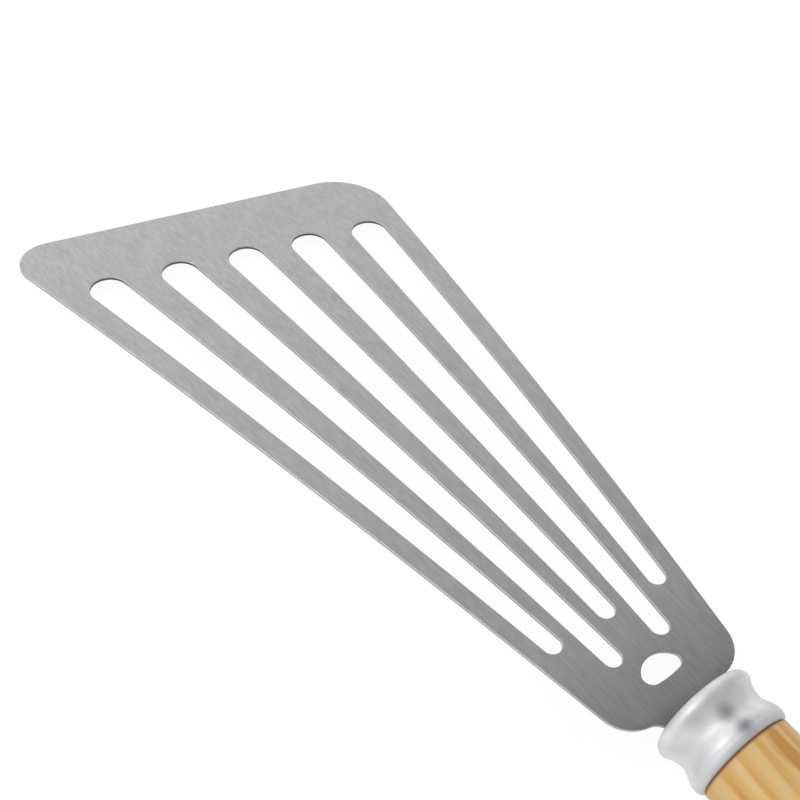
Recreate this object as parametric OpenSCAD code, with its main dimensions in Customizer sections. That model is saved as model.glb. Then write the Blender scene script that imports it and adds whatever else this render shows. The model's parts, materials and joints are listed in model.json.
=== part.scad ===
// Fish spatula: an arched, fan-shaped slotted blade with a slanted edge, a waisted metal
// bolster and a round wooden handle. Millimetres. It lies as on a table, with the leading
// edge of the blade and the belly of the handle on z = 0, and the blade points to +X.

/* [Blade outline] */
// Thickness of the steel sheet
sheet_t = 0.8; // [0.6:0.1:1.2]
// Reach of the leading edge beyond the bolster, on the centre line
tip_reach = 166.5; // [155:0.5:180]
// Width across the side edges where the leading edge crosses the centre line
tip_w = 88.6; // [82:0.2:96]
// Width across the side edges, carried back to the front of the bolster
root_w = 29.7; // [28.5:0.1:33]
// Slant of the leading edge, so that the left corner reaches further
tip_slant = 13.5; // [9:0.1:15]
// Radius of the left corner, the long one
long_corner_r = 7.5; // [4:0.5:10]
// Radius of the right corner, the short one
short_corner_r = 14; // [10:0.5:16]
// Radius of each shoulder beside the neck
shoulder_r = 7.5; // [6.5:0.1:8]
// Distance of the shoulder circles in front of the bolster
shoulder_x = 9.5; // [9:0.1:10.2]
// Radius of the hollow curve from the shoulder into the neck
neck_hollow_r = 3.3; // [2.8:0.1:3.8]
// Width of the neck inside the bolster
neck_w = 15; // [14:0.2:15.4]

/* [Slots] */
// Number of slots, with the middle one on the centre line
slot_count = 5; // [3:2:5]
// Angle from one slot to the next
slot_pitch = 4.0; // [3.8:0.02:4.2]
// Distance of the point that the slots fan out from, behind the front of the bolster
fan_back = 72.2; // [68:0.2:80]
// Width of a slot at its tip end
slot_tip_w = 8.5; // [7:0.1:9]
// Width of a slot at its handle end
slot_root_w = 4.0; // [3.2:0.1:4.4]
// Distance of the first slot ends in front of the bolster
slot_root_x = 24.9; // [24:0.1:30]
// How much nearer to the handle every second slot ends
slot_stagger = 8.5; // [4:0.1:9]
// Width of the plain band between the middle slot and the leading edge
tip_band = 17.9; // [13:0.1:24]
// Slant of the line that the slots end on at the tip
slot_slant = 14.6; // [10:0.1:16]
// Radius of that line, which bows a little towards the tip
slot_line_r = 1280; // [800:10:2400]

/* [Hanging hole] */
// Distance of the flat side of the half-moon hole in front of the bolster
hole_x = 7.8; // [7:0.1:8.5]
// Height of the half-moon hole, from its flat side to its crown
hole_h = 4.9; // [4.4:0.1:5.2]
// Width of the half-moon hole
hole_w = 9.2; // [8.6:0.1:9.8]
// Radius of the two corners of the half-moon hole
hole_corner_r = 1.7; // [1.4:0.1:1.9]

/* [Bolster] */
// Length of the bolster
bolster_l = 12; // [11:0.5:16]
// Diameter of the front lip
front_lip_d = 21.5; // [21:0.1:22]
// Rounding radius of the front lip
front_lip_r = 1.8; // [1.4:0.1:2.2]
// Diameter of the rear lip
rear_lip_d = 21.2; // [20.6:0.1:21.8]
// Rounding radius of the rear lip
rear_lip_r = 1.4; // [1:0.1:1.6]
// Diameter of the waist
waist_d = 18.9; // [18.4:0.1:19.4]
// Distance of the waist behind the front of the bolster
waist_x = 6.2; // [5.6:0.1:6.6]
// Thickness of the front wall that the neck passes through
front_wall = 2.6; // [2:0.1:3.2]
// Gap round the neck in the front wall
neck_gap = 0.15; // [0.1:0.05:0.25]

/* [Handle] */
// Length of the grip behind the bolster
grip_l = 118; // [100:1:130]
// Diameter of the grip at the bolster
grip_root_d = 19.6; // [18.8:0.1:20]
// Diameter of the belly, which lies on the table
belly_d = 22.5; // [22:0.1:26]
// Distance of the belly behind the bolster
belly_x = 74; // [66:1:80]
// Diameter of the grip before its rounded butt
butt_d = 19.6; // [18:0.1:21]
// Length of the rounded butt
butt_round = 7; // [5:0.5:9]
// Chamfer on the wood beside the bolster
root_chamfer = 0.4; // [0.2:0.1:0.6]
// Diameter of the tenon that fills the bolster
tenon_d = 14.8; // [14:0.1:15.4]
// Gap round the tenon in its socket
tenon_gap = 0.1; // [0.05:0.05:0.2]
// Space for adhesive in front of the tenon
tenon_space = 1.4; // [1:0.1:2]

/* [Tang] */
// Width of the tang
tang_w = 9.6; // [8:0.1:9.8]
// Length of the tang behind the front of the bolster
tang_l = 76; // [50:1:90]
// Diameter of the bore that the tang is bonded in
tang_bore_d = 10.4; // [10.2:0.1:11]
// Space for adhesive past the end of the tang
tang_space = 3; // [1:0.5:5]

/* [Hidden] */

// Facets of a small round and of the large arch
round_fn = 96;
arch_fn = 1440;
// Stations along the turned profile of the grip
grip_steps = 36;
butt_steps = 8;
// Extra length on a cutting shape, past the face that it cuts
over = 1;
// How far each round stands past the straight sides or rounds that it touches, so that they cross
lap = 0.005;

// Height of the handle's axis, where the belly lies on the table
axis_z = belly_d / 2;

// Unit directions: along the leading edge's normal, and the normals of the side edges
edge_angle = atan((tip_w - root_w) / 2 / tip_reach);
tip_normal = [cos(tip_slant), -sin(tip_slant)];
left_normal = [-sin(edge_angle), cos(edge_angle)];
right_normal = [-sin(edge_angle), -cos(edge_angle)];
tip_line = tip_reach * cos(tip_slant);
side_line = root_w / 2 * cos(edge_angle);

// The sheet leaves the bolster level and arches down until its leading edge meets z = 0,
// on a radius that is kept to a hundredth of a millimetre
arch_exact_r = (tip_line * tip_line + axis_z * axis_z - sheet_t * sheet_t / 4) / (2 * axis_z - sheet_t);
arch_r = round(100 * arch_exact_r) / 100;

// Crossing of the lines n1 . p = d1 and n2 . p = d2
function crossing(n1, d1, n2, d2) =
    let (det = n1[0] * n2[1] - n1[1] * n2[0])
    [(d1 * n2[1] - d2 * n1[1]) / det, (n1[0] * d2 - n2[0] * d1) / det];

// Centres of the two corner rounds of the tip
long_corner = crossing(tip_normal, tip_line - long_corner_r, left_normal, side_line - long_corner_r);
short_corner = crossing(tip_normal, tip_line - short_corner_r, right_normal, side_line - short_corner_r);

// Centres of the left shoulder round and of the hollow that leads from it into the neck
shoulder = [shoulder_x, root_w / 2 + shoulder_x * tan(edge_angle) - shoulder_r / cos(edge_angle)];
hollow_y = neck_w / 2 + neck_hollow_r;
hollow = [
    shoulder_x - sqrt(pow(shoulder_r + neck_hollow_r, 2) - pow(hollow_y - shoulder[1], 2)),
    hollow_y
];
hollow_join = shoulder + (hollow - shoulder) * shoulder_r / (shoulder_r + neck_hollow_r);

// Half width of the slot in the bolster, set by the widest part of the neck within the front wall
neck_face_half = hollow[0] > 0 ? neck_w / 2 : hollow_y - sqrt(pow(neck_hollow_r, 2) - pow(hollow[0], 2));

// Ends of slot number i, counted from the middle, left positive
slot_tip_x0 = tip_reach - tip_band - slot_tip_w / 2;
function slot_root(i) =
    let (x = slot_root_x - (i % 2 == 0 ? 0 : slot_stagger))
    [x, (x + fan_back) * tan(i * slot_pitch)];
function slot_tip(i) =
    let (
        slope = tan(i * slot_pitch),
        straight = (slot_tip_x0 + fan_back) / (1 - slope * tan(slot_slant)) - fan_back,
        y = (straight + fan_back) * slope,
        x = slot_tip_x0 + y * tan(slot_slant) - y * y / 2 / slot_line_r
    )
    [x, (x + fan_back) * slope];

// Half-moon hole: centre of a corner, and the circle of the crown, which touches both corners
hole_corner = [hole_x + hole_corner_r, hole_w / 2 - hole_corner_r];
crown_rise = hole_h - hole_corner_r;
crown_r = (crown_rise * crown_rise + pow(hole_corner[1], 2) - pow(hole_corner_r, 2))
    / 2 / (crown_rise - hole_corner_r);
crown_x = hole_x + hole_h - crown_r;
crown_join = [crown_x, 0]
    + [hole_corner[0] - crown_x, hole_corner[1]] * crown_r / (crown_r - hole_corner_r);

// Radii of the two arcs that meet at the bolster's waist
front_rise = (front_lip_d - waist_d) / 2;
rear_rise = (rear_lip_d - waist_d) / 2;
front_run = waist_x - front_lip_r;
rear_run = bolster_l - rear_lip_r - waist_x;
front_arc_r = (front_run * front_run / front_rise + front_rise) / 2 - front_lip_r;
rear_arc_r = (rear_run * rear_run / rear_rise + rear_rise) / 2 - rear_lip_r;

// Tenon and socket
socket_d = tenon_d + 2 * tenon_gap;
tenon_front_x = front_wall + tenon_space;
bore_end_x = tang_l + tang_space;

// Middle of the whole outline, so that the origin lies under it
center = [
    (long_corner[0] + long_corner_r - bolster_l - grip_l) / 2,
    (long_corner[1] + long_corner_r + short_corner[1] - short_corner_r) / 2
];

steel = [0.66, 0.66, 0.65];
cast_metal = [0.84, 0.84, 0.83];
ash_wood = [0.84, 0.69, 0.44];
cured_epoxy = [0.80, 0.74, 0.56];

// Smooth step from 0 to 1
function ease(t) = t * t * (3 - 2 * t);

// Radius of the grip at distance x behind the bolster
function grip_radius(x) =
    x < belly_x
        ? (grip_root_d + (belly_d - grip_root_d) * ease(x / belly_x)) / 2
        : (belly_d + (butt_d - belly_d) * ease((x - belly_x) / (grip_l - belly_x))) / 2;

// Radius within the rounded butt, a quarter of an ellipse on top of the grip's own line
function butt_radius(a) = grip_radius(grip_l - butt_round * (1 - sin(a))) * sqrt(cos(a));

// Moves a piece drawn from the bolster's front centre to its place on the table
module place() {
    translate([-center[0], -center[1], axis_z])
        children();
}

// Stands a turned shape along the handle, with its profile's height running back from the bolster
module turned() {
    rotate([0, -90, 0])
        rotate_extrude($fn = round_fn)
            children();
}

// A round that runs into straight sides or other rounds
module disc(r) {
    circle(r = r + lap, $fn = round_fn);
}

// A slot with round ends, whose straight sides touch both end circles
module slot_shape(root, tip, root_r, tip_r) {
    span = norm(tip - root);
    along = (tip - root) / span;
    across = [-along[1], along[0]];
    lean = asin((tip_r - root_r) / span);
    left = across * cos(lean) - along * sin(lean);
    right = -across * cos(lean) - along * sin(lean);
    translate(root)
        disc(root_r);
    translate(tip)
        disc(tip_r);
    polygon([root + left * root_r, root + right * root_r, tip + right * tip_r, tip + left * tip_r]);
}

// The half-moon hole that the spatula hangs by. Its crown has no lap, so the corner rounds cross it.
module half_moon() {
    for (side = [-1, 1])
        translate([hole_corner[0], side * hole_corner[1]])
            disc(hole_corner_r);
    polygon([
        [hole_x, -hole_corner[1]],
        [crown_join[0], -crown_join[1]],
        crown_join,
        [hole_x, hole_corner[1]]
    ]);
    intersection() {
        translate([crown_x, 0])
            circle(r = crown_r, $fn = round_fn);
        translate([crown_join[0], -hole_w])
            square([hole_h, 2 * hole_w]);
    }
}

// Plan of the fan with its rounded corners and shoulders
module fan_shape() {
    right_shoulder = [shoulder[0], -shoulder[1]];
    polygon([
        shoulder + left_normal * shoulder_r,
        shoulder,
        right_shoulder,
        right_shoulder + right_normal * shoulder_r,
        short_corner + right_normal * short_corner_r,
        short_corner + tip_normal * short_corner_r,
        long_corner + tip_normal * long_corner_r,
        long_corner + left_normal * long_corner_r
    ]);
    translate(long_corner)
        disc(long_corner_r);
    translate(short_corner)
        disc(short_corner_r);
    for (side = [-1, 1])
        translate([shoulder[0], side * shoulder[1]])
            disc(shoulder_r);
}

// Plan of the neck, between the shoulders and the inside of the bolster's front wall
module neck_shape() {
    difference() {
        polygon([
            shoulder,
            hollow_join,
            hollow,
            [hollow[0], neck_w / 2],
            [-front_wall, neck_w / 2],
            [-front_wall, -neck_w / 2],
            [hollow[0], -neck_w / 2],
            [hollow[0], -hollow[1]],
            [hollow_join[0], -hollow_join[1]],
            [shoulder[0], -shoulder[1]]
        ]);
        for (side = [-1, 1])
            translate([hollow[0], side * hollow[1]])
                disc(neck_hollow_r);
    }
}

// Plan of everything in front of the bolster, with its slots and hole
module blade_shape() {
    reach = (slot_count - 1) / 2;
    difference() {
        union() {
            fan_shape();
            neck_shape();
        }
        for (i = [-reach : reach])
            slot_shape(slot_root(i), slot_tip(i), slot_root_w / 2, slot_tip_w / 2);
        half_moon();
    }
}

// Side view of the bent sheet: level behind the front of the bolster, arched in front of it
module sheet_profile() {
    level_l = tang_l + tang_w;
    translate([-level_l, -sheet_t / 2])
        square([level_l, sheet_t]);
    intersection() {
        translate([0, -arch_r])
            difference() {
                circle(r = arch_r + sheet_t / 2, $fn = arch_fn);
                circle(r = arch_r - sheet_t / 2, $fn = arch_fn);
            }
        translate([0, -arch_r])
            square([tip_line + over, arch_r + sheet_t]);
    }
}

// The bent sheet before it is cut to shape, with its bends parallel to the leading edge
module bent_sheet() {
    width = 3 * tip_w;
    rotate([90, 0, -tip_slant])
        translate([0, 0, -width / 2])
            linear_extrude(width)
                sheet_profile();
}

// Plan of the flat tang behind the neck, with its rounded end
module tang_shape() {
    round_x = tang_w / 2 - tang_l;
    translate([round_x, 0])
        disc(tang_w / 2);
    translate([round_x, -tang_w / 2])
        square([-front_wall - round_x, tang_w]);
}

// One stamped piece of stainless sheet: fan, neck and tang
module blade() {
    depth = axis_z + sheet_t;
    color(steel)
        place()
            intersection() {
                translate([0, 0, -depth])
                    linear_extrude(depth + sheet_t) {
                        blade_shape();
                        tang_shape();
                    }
                bent_sheet();
            }
}

// One arc of the bolster's waist, on the front side (1) or the rear side (-1) of it
module waist_cut(side, arc_r) {
    intersection() {
        translate([waist_d / 2 + arc_r, waist_x])
            disc(arc_r);
        translate([0, side > 0 ? waist_x - bolster_l : waist_x])
            square([waist_d / 2 + arc_r, bolster_l]);
    }
}

// Profile of the bolster: radius to the right, distance behind its front upwards
module bolster_profile() {
    front_center = [front_lip_d / 2 - front_lip_r, front_lip_r];
    rear_center = [rear_lip_d / 2 - rear_lip_r, bolster_l - rear_lip_r];
    front_arc_center = [waist_d / 2 + front_arc_r, waist_x];
    rear_arc_center = [waist_d / 2 + rear_arc_r, waist_x];
    difference() {
        polygon([
            [0, 0],
            [front_center[0], 0],
            front_center,
            front_center + (front_arc_center - front_center) * front_lip_r / (front_lip_r + front_arc_r),
            [waist_d / 2, waist_x],
            rear_center + (rear_arc_center - rear_center) * rear_lip_r / (rear_lip_r + rear_arc_r),
            rear_center,
            [rear_center[0], bolster_l],
            [0, bolster_l]
        ]);
        waist_cut(1, front_arc_r);
        waist_cut(-1, rear_arc_r);
    }
    translate(front_center)
        disc(front_lip_r);
    translate(rear_center)
        disc(rear_lip_r);
}

// Waisted metal bolster, with a slot for the neck in front and a socket for the wood behind
module bolster() {
    slot_half = neck_face_half + neck_gap;
    color(cast_metal)
        place()
            difference() {
                turned()
                    bolster_profile();
                translate([-bolster_l - over, 0, 0])
                    rotate([0, 90, 0])
                        cylinder(d = socket_d, h = bolster_l - front_wall + over, $fn = round_fn);
                translate([-front_wall - over, -slot_half, -sheet_t / 2 - neck_gap])
                    cube([front_wall + 2 * over, 2 * slot_half, sheet_t + 2 * neck_gap]);
            }
}

// Turned grip: a slender belly and a rounded butt, from the bolster's rear face
module grip_profile() {
    straight_l = grip_l - butt_round;
    polygon(concat(
        [[0, 0], [grip_root_d / 2 - root_chamfer, 0], [grip_root_d / 2, root_chamfer]],
        [for (i = [1 : grip_steps]) [grip_radius(i * straight_l / grip_steps), i * straight_l / grip_steps]],
        [for (i = [1 : butt_steps - 1])
            let (a = 90 * i / butt_steps)
            [butt_radius(a), grip_l - butt_round * (1 - sin(a))]],
        [[0, grip_l]]
    ));
}

// Wooden handle, with its tenon and the bore for the tang
module handle() {
    color(ash_wood)
        place()
            difference() {
                union() {
                    translate([-bolster_l, 0, 0])
                        turned()
                            grip_profile();
                    translate([-bolster_l - over, 0, 0])
                        rotate([0, 90, 0])
                            cylinder(d = tenon_d, h = bolster_l + over - tenon_front_x, $fn = round_fn);
                }
                translate([-bore_end_x, 0, 0])
                    rotate([0, 90, 0])
                        cylinder(d = tang_bore_d, h = bore_end_x, $fn = round_fn);
            }
}

// Cured adhesive that bonds the tang in the handle and fills the bolster in front of the tenon
module tang_adhesive() {
    color(cured_epoxy)
        place()
            difference() {
                union() {
                    translate([-bore_end_x, 0, 0])
                        rotate([0, 90, 0])
                            cylinder(d = tang_bore_d, h = bore_end_x - front_wall, $fn = round_fn);
                    translate([-tenon_front_x, 0, 0])
                        rotate([0, 90, 0])
                            cylinder(d = socket_d, h = tenon_space, $fn = round_fn);
                }
                translate([0, 0, -sheet_t / 2])
                    linear_extrude(sheet_t)
                        tang_shape();
            }
}

blade();
bolster();
handle();
tang_adhesive();
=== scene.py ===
"""Looks of a fish spatula: a brushed steel fan, a satin cast bolster and a turned ash handle.

The file is run as a script inside Blender. Lengths are in metres, and the spatula lies as it
rests on a table: +X points to the leading edge of the fan and +Z points up.
"""

import json
import math

import bmesh
import bpy
from bpy.props import FloatProperty, FloatVectorProperty, IntProperty, PointerProperty
from mathutils import Matrix, Vector

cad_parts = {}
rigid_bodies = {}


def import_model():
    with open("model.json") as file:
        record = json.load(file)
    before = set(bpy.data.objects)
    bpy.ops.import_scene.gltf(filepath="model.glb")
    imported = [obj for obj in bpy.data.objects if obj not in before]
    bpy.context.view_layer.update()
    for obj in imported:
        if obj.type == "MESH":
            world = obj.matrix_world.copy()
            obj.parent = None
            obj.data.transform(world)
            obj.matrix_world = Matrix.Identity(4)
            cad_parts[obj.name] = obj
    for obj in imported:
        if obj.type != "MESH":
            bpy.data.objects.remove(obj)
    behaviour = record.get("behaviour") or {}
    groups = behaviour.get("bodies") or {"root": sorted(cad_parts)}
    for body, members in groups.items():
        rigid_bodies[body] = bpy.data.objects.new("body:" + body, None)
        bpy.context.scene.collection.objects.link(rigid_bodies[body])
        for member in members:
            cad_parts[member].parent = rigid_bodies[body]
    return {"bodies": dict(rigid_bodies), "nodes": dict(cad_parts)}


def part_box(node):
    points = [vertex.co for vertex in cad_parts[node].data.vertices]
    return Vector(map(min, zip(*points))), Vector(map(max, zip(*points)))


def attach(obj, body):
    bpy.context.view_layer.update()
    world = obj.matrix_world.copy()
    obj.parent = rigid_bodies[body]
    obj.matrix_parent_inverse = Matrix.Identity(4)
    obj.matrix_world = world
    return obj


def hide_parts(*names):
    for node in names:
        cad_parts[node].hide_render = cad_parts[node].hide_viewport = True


bl_info = {
    "name": "Fish Spatula",
    "version": (1, 0, 0),
    "blender": (4, 5, 0),
    "location": "3D View > Sidebar > Spatula",
    "description": "Dresses a slotted fish spatula in brushed steel, satin metal and ash",
    "category": "Object",
}

BODY = "root"

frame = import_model()
bolster_low, bolster_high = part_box("bolster")
handle_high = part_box("handle")[1]

# The handle's axis runs along X through AXIS, the bolster's front face lies at FRONT_X, and the
# blade's neck comes out of it at NECK
AXIS = (bolster_low + bolster_high) / 2
FRONT_X = bolster_high.x
NECK = Vector((FRONT_X, AXIS.y, AXIS.z))

# Points nearer than MERGE_DISTANCE are one. In the sheet's outline, edges under SHORT_EDGE are
# merged, and edges and faces that run straight on to within FLAT_ANGLE are joined
MERGE_DISTANCE = 1e-6
SHORT_EDGE = 3e-5
FLAT_ANGLE = math.radians(1)

# Edges of the turned pieces that turn by more than this stay sharp
SHARP_ANGLE = math.radians(35)

# How strongly the large faces set the shading beside them, where 50 is neutral
FLAT_WEIGHT = 90

# Flat side of the hanging hole: its distance in front of the bolster, how far its edges may lie
# from there, half the width in which they are looked for, and their least length
HOLE_X = 0.0078
HOLE_MARGIN = 1e-5
HOLE_REACH = 0.004
SHORTEST_SIDE = 0.001

# Bow of that side: its cuts, its middle off the centre line, half its width, and the height above
# the flat side over which it fades out
BOW_CUTS = 9
BOW_SHIFT = 0.0008
BOW_HALF = 0.0038
BOW_FADE = 0.0012

# A wall of the bolster counts as its outside up to this far below the radius of the waist
WALL_MARGIN = 2e-4

# Painted shade on the walls at the wide ends of the slots, from where it starts: where it is
# darkest, where it starts to fade, and where the walls are plain again
DARKEST = 0.0035
FADE_START = 0.0068
PLAIN_AGAIN = 0.0075

# The slots fan out from this point. Slope of their outermost walls, and of the sheet's side edges
FAN_CENTER = NECK - Vector((0.0722, 0.0, 0.0))
SLOT_SLOPE = 0.168
EDGE_SLOPE = 0.178

# Growth rings, in millimetres: how far the origin lies from the heart that they run round, how far
# the heart is turned from the handle, how far the rings waver, and the width of one year
MILLIMETRES = 1000.0
HEART_OFFSET = (0.0, 13.0, -22.0)
HEART_TURN = (0.0, math.radians(2.6), math.radians(3.4))
RING_WAVER = 2.4
RING_WIDTH = 3.3

# Colours of the cured glue
GLUE_DEEP = (0.60, 0.50, 0.27)
GLUE_PALE = (0.68, 0.60, 0.38)

# Room that the metal mirrors: the side where it is brightest, and its darkest and brightest tone
BRIGHT_SIDE = (0.61, 0.34, -0.72)
MIRRORED_DARK = 0.21
MIRRORED_BRIGHT = 1.06

# Floor that the camera sees: its white, how strong that is, and the share of it that metal mirrors
WHITE = (1.0, 1.0, 1.0)
FLOOR_STRENGTH = 1.05
MIRRORED_FLOOR = 0.5

# Painted dark reflections on the bolster, as soft spots: distance from its middle, reach and
# strength
PAINTED_DARK_REFLECTIONS = (
    ((0.0001, 0.0020, 0.0095), 0.0028, 0.64),
    ((-0.0040, 0.0019, 0.0100), 0.0026, 0.90),
    ((0.0028, 0.0069, 0.0069), 0.0034, 0.25),
    ((-0.0016, 0.0088, 0.0042), 0.0055, 0.17),
    ((-0.0046, 0.0096, 0.0018), 0.0045, 0.22),
    ((0.0010, -0.0080, -0.0050), 0.0030, 0.35),
)


class BladeSettings(bpy.types.PropertyGroup):
    """Sizes and finish of the slotted steel fan."""

    sheet_thickness: FloatProperty(
        name="Sheet Thickness",
        description="Thickness of the steel sheet",
        default=0.0008,
        min=0.0005,
        max=0.0015,
        precision=5,
        unit="LENGTH",
    )
    arch_radius: FloatProperty(
        name="Arch Radius",
        description="Radius on which the fan arches down to its leading edge",
        default=1.21373,
        min=0.5,
        max=3.0,
        unit="LENGTH",
    )
    edge_slant: FloatProperty(
        name="Edge Slant",
        description="Angle of the leading edge, and of the line about which the fan is arched",
        default=math.radians(13.5),
        min=0.0,
        max=math.radians(30),
        subtype="ANGLE",
        unit="ROTATION",
    )
    strip_length: FloatProperty(
        name="Strip Length",
        description="Length of the strips that follow the arch",
        default=0.003,
        min=0.001,
        max=0.02,
        precision=4,
        unit="LENGTH",
    )
    edge_round: FloatProperty(
        name="Edge Rounding",
        description="Width of the tumbled rounding along every edge of the sheet",
        default=0.00014,
        min=0.00002,
        max=0.0003,
        precision=5,
        unit="LENGTH",
    )
    edge_segments: IntProperty(
        name="Edge Segments",
        description="Facets across the rounding of an edge",
        default=3,
        min=1,
        max=6,
    )
    hole_bow: FloatProperty(
        name="Hole Bow",
        description="How far the flat side of the hanging hole bows towards the bolster",
        default=0.00033,
        min=0.0,
        max=0.001,
        precision=5,
        unit="LENGTH",
    )
    steel_dark: FloatVectorProperty(
        name="Steel in the Grooves",
        description="Colour at the bottom of the brushed lines",
        default=(0.45, 0.45, 0.45),
        min=0.0,
        max=1.0,
        subtype="COLOR",
    )
    steel_light: FloatVectorProperty(
        name="Steel on the Ridges",
        description="Colour between the brushed lines",
        default=(0.62, 0.62, 0.618),
        min=0.0,
        max=1.0,
        subtype="COLOR",
    )
    # Painted shade: the steel darkens towards the bolster, where the bolster shades it
    neck_painted_shade: FloatVectorProperty(
        name="Painted Shade at the Neck",
        description="Colour that the steel darkens towards beside the bolster",
        default=(0.10, 0.10, 0.10),
        min=0.0,
        max=1.0,
        subtype="COLOR",
    )
    punched_color: FloatVectorProperty(
        name="Punched Wall",
        description="Colour of the walls that the punch leaves in the slots",
        default=(0.58, 0.58, 0.58),
        min=0.0,
        max=1.0,
        subtype="COLOR",
    )
    # Painted shade on the walls at the wide ends of the slots
    slot_end_painted_shade: FloatVectorProperty(
        name="Wide Slot End",
        description="Colour of the dark walls at the wide ends of the slots",
        default=(0.12, 0.12, 0.12),
        min=0.0,
        max=1.0,
        subtype="COLOR",
    )
    slot_end_distance: FloatProperty(
        name="Wide Slot End Distance",
        description="Where the dark walls start, along the slant in front of the bolster",
        default=0.1395,
        min=0.1,
        max=0.18,
        unit="LENGTH",
    )


class BolsterSettings(bpy.types.PropertyGroup):
    """Rear shape and finish of the waisted bolster."""

    waist_distance: FloatProperty(
        name="Waist Distance",
        description="Distance of the waist behind the front face",
        default=0.0062,
        min=0.005,
        max=0.008,
        unit="LENGTH",
    )
    waist_radius: FloatProperty(
        name="Waist Radius",
        description="Radius of the waist",
        default=0.00945,
        min=0.009,
        max=0.0105,
        unit="LENGTH",
    )
    crown_distance: FloatProperty(
        name="Crown Distance",
        description="Distance behind the front face where the rear has swollen to its full width",
        default=0.0099,
        min=0.008,
        max=0.0106,
        unit="LENGTH",
    )
    rim_distance: FloatProperty(
        name="Rim Distance",
        description="Distance behind the front face at which the rear rim starts to round off",
        default=0.0106,
        min=0.0105,
        max=0.0115,
        unit="LENGTH",
    )
    rim_radius: FloatProperty(
        name="Rim Radius",
        description="Radius of the rear rim",
        default=0.0106,
        min=0.010,
        max=0.011,
        unit="LENGTH",
    )
    ring_length: FloatProperty(
        name="Ring Length",
        description="Longest step between the rings that shape the swelling rear",
        default=0.00035,
        min=0.0001,
        max=0.001,
        unit="LENGTH",
    )
    metal_light: FloatVectorProperty(
        name="Polished Metal",
        description="Colour where the casting is polished bright",
        default=(0.88, 0.88, 0.89),
        min=0.0,
        max=1.0,
        subtype="COLOR",
    )
    metal_dull: FloatVectorProperty(
        name="Dull Metal",
        description="Colour of the cloudy patches that the polishing left",
        default=(0.72, 0.72, 0.73),
        min=0.0,
        max=1.0,
        subtype="COLOR",
    )
    # Painted shade: the bluish, darker band beside the wood; the roughness raised there is real
    rear_painted_shade: FloatVectorProperty(
        name="Rear Rim",
        description="Colour of the bluish, duller band beside the wood",
        default=(0.72, 0.75, 0.79),
        min=0.0,
        max=1.0,
        subtype="COLOR",
    )
    # Painted dark reflections round the waist of the bolster
    painted_reflection_color: FloatVectorProperty(
        name="Painted Dark Reflections",
        description="Colour of the few painted dark reflections round the waist",
        default=(0.16, 0.16, 0.17),
        min=0.0,
        max=1.0,
        subtype="COLOR",
    )


class HandleSettings(bpy.types.PropertyGroup):
    """Sizes and finish of the turned wooden handle."""

    tenon_diameter: FloatProperty(
        name="Tenon Diameter",
        description="Diameter of the wood inside the bolster",
        default=0.0148,
        min=0.008,
        max=0.018,
        unit="LENGTH",
    )
    bore_diameter: FloatProperty(
        name="Bore Diameter",
        description="Diameter of the bore that the tang is bonded in",
        default=0.0104,
        min=0.008,
        max=0.012,
        unit="LENGTH",
    )
    bore_depth: FloatProperty(
        name="Bore Depth",
        description="Depth of the bore behind the bolster",
        default=0.067,
        min=0.03,
        max=0.08,
        unit="LENGTH",
    )
    root_diameter: FloatProperty(
        name="Root Diameter",
        description="Diameter of the grip beside the bolster",
        default=0.0196,
        min=0.015,
        max=0.022,
        unit="LENGTH",
    )
    root_chamfer: FloatProperty(
        name="Root Chamfer",
        description="Small chamfer of the wood beside the bolster",
        default=0.0004,
        min=0.0,
        max=0.001,
        precision=5,
        unit="LENGTH",
    )
    grip_length: FloatProperty(
        name="Grip Length",
        description="Length of the wood behind the bolster",
        default=0.118,
        min=0.09,
        max=0.15,
        unit="LENGTH",
    )
    belly_diameter: FloatProperty(
        name="Belly Diameter",
        description="Largest diameter of the grip",
        default=0.0225,
        min=0.018,
        max=0.03,
        unit="LENGTH",
    )
    belly_distance: FloatProperty(
        name="Belly Distance",
        description="Distance of the belly behind the bolster",
        default=0.074,
        min=0.04,
        max=0.09,
        unit="LENGTH",
    )
    butt_diameter: FloatProperty(
        name="Butt Diameter",
        description="Diameter that the grip tapers to at its end",
        default=0.0196,
        min=0.015,
        max=0.025,
        unit="LENGTH",
    )
    butt_round: FloatProperty(
        name="Butt Rounding",
        description="Length of the rounded end of the grip",
        default=0.007,
        min=0.002,
        max=0.01,
        unit="LENGTH",
    )
    grip_rings: IntProperty(
        name="Rings Along",
        description="Rings of faces along the grip, up to its rounded end",
        default=60,
        min=12,
        max=200,
    )
    butt_rings: IntProperty(
        name="Rings on the Butt",
        description="Rings of faces on the rounded end of the grip",
        default=24,
        min=4,
        max=64,
    )
    turn_steps: IntProperty(
        name="Facets Around",
        description="Facets around the turned wood",
        default=144,
        min=48,
        max=256,
    )
    wood_pale: FloatVectorProperty(
        name="Early Wood",
        description="Colour of the pale wood between the growth rings",
        default=(0.775, 0.54, 0.233),
        min=0.0,
        max=1.0,
        subtype="COLOR",
    )
    wood_ring: FloatVectorProperty(
        name="Late Wood",
        description="Colour of the growth rings",
        default=(0.67, 0.355, 0.067),
        min=0.0,
        max=1.0,
        subtype="COLOR",
    )
    wood_heart: FloatVectorProperty(
        name="Heart Wood",
        description="Colour of the warm patches near the heart",
        default=(0.57, 0.25, 0.04),
        min=0.0,
        max=1.0,
        subtype="COLOR",
    )
    # Darker band on the wood right beside the bolster
    wood_edge: FloatVectorProperty(
        name="Dark Wood Edge",
        description="Colour of the darker wood beside the bolster",
        default=(0.24, 0.10, 0.03),
        min=0.0,
        max=1.0,
        subtype="COLOR",
    )


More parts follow.
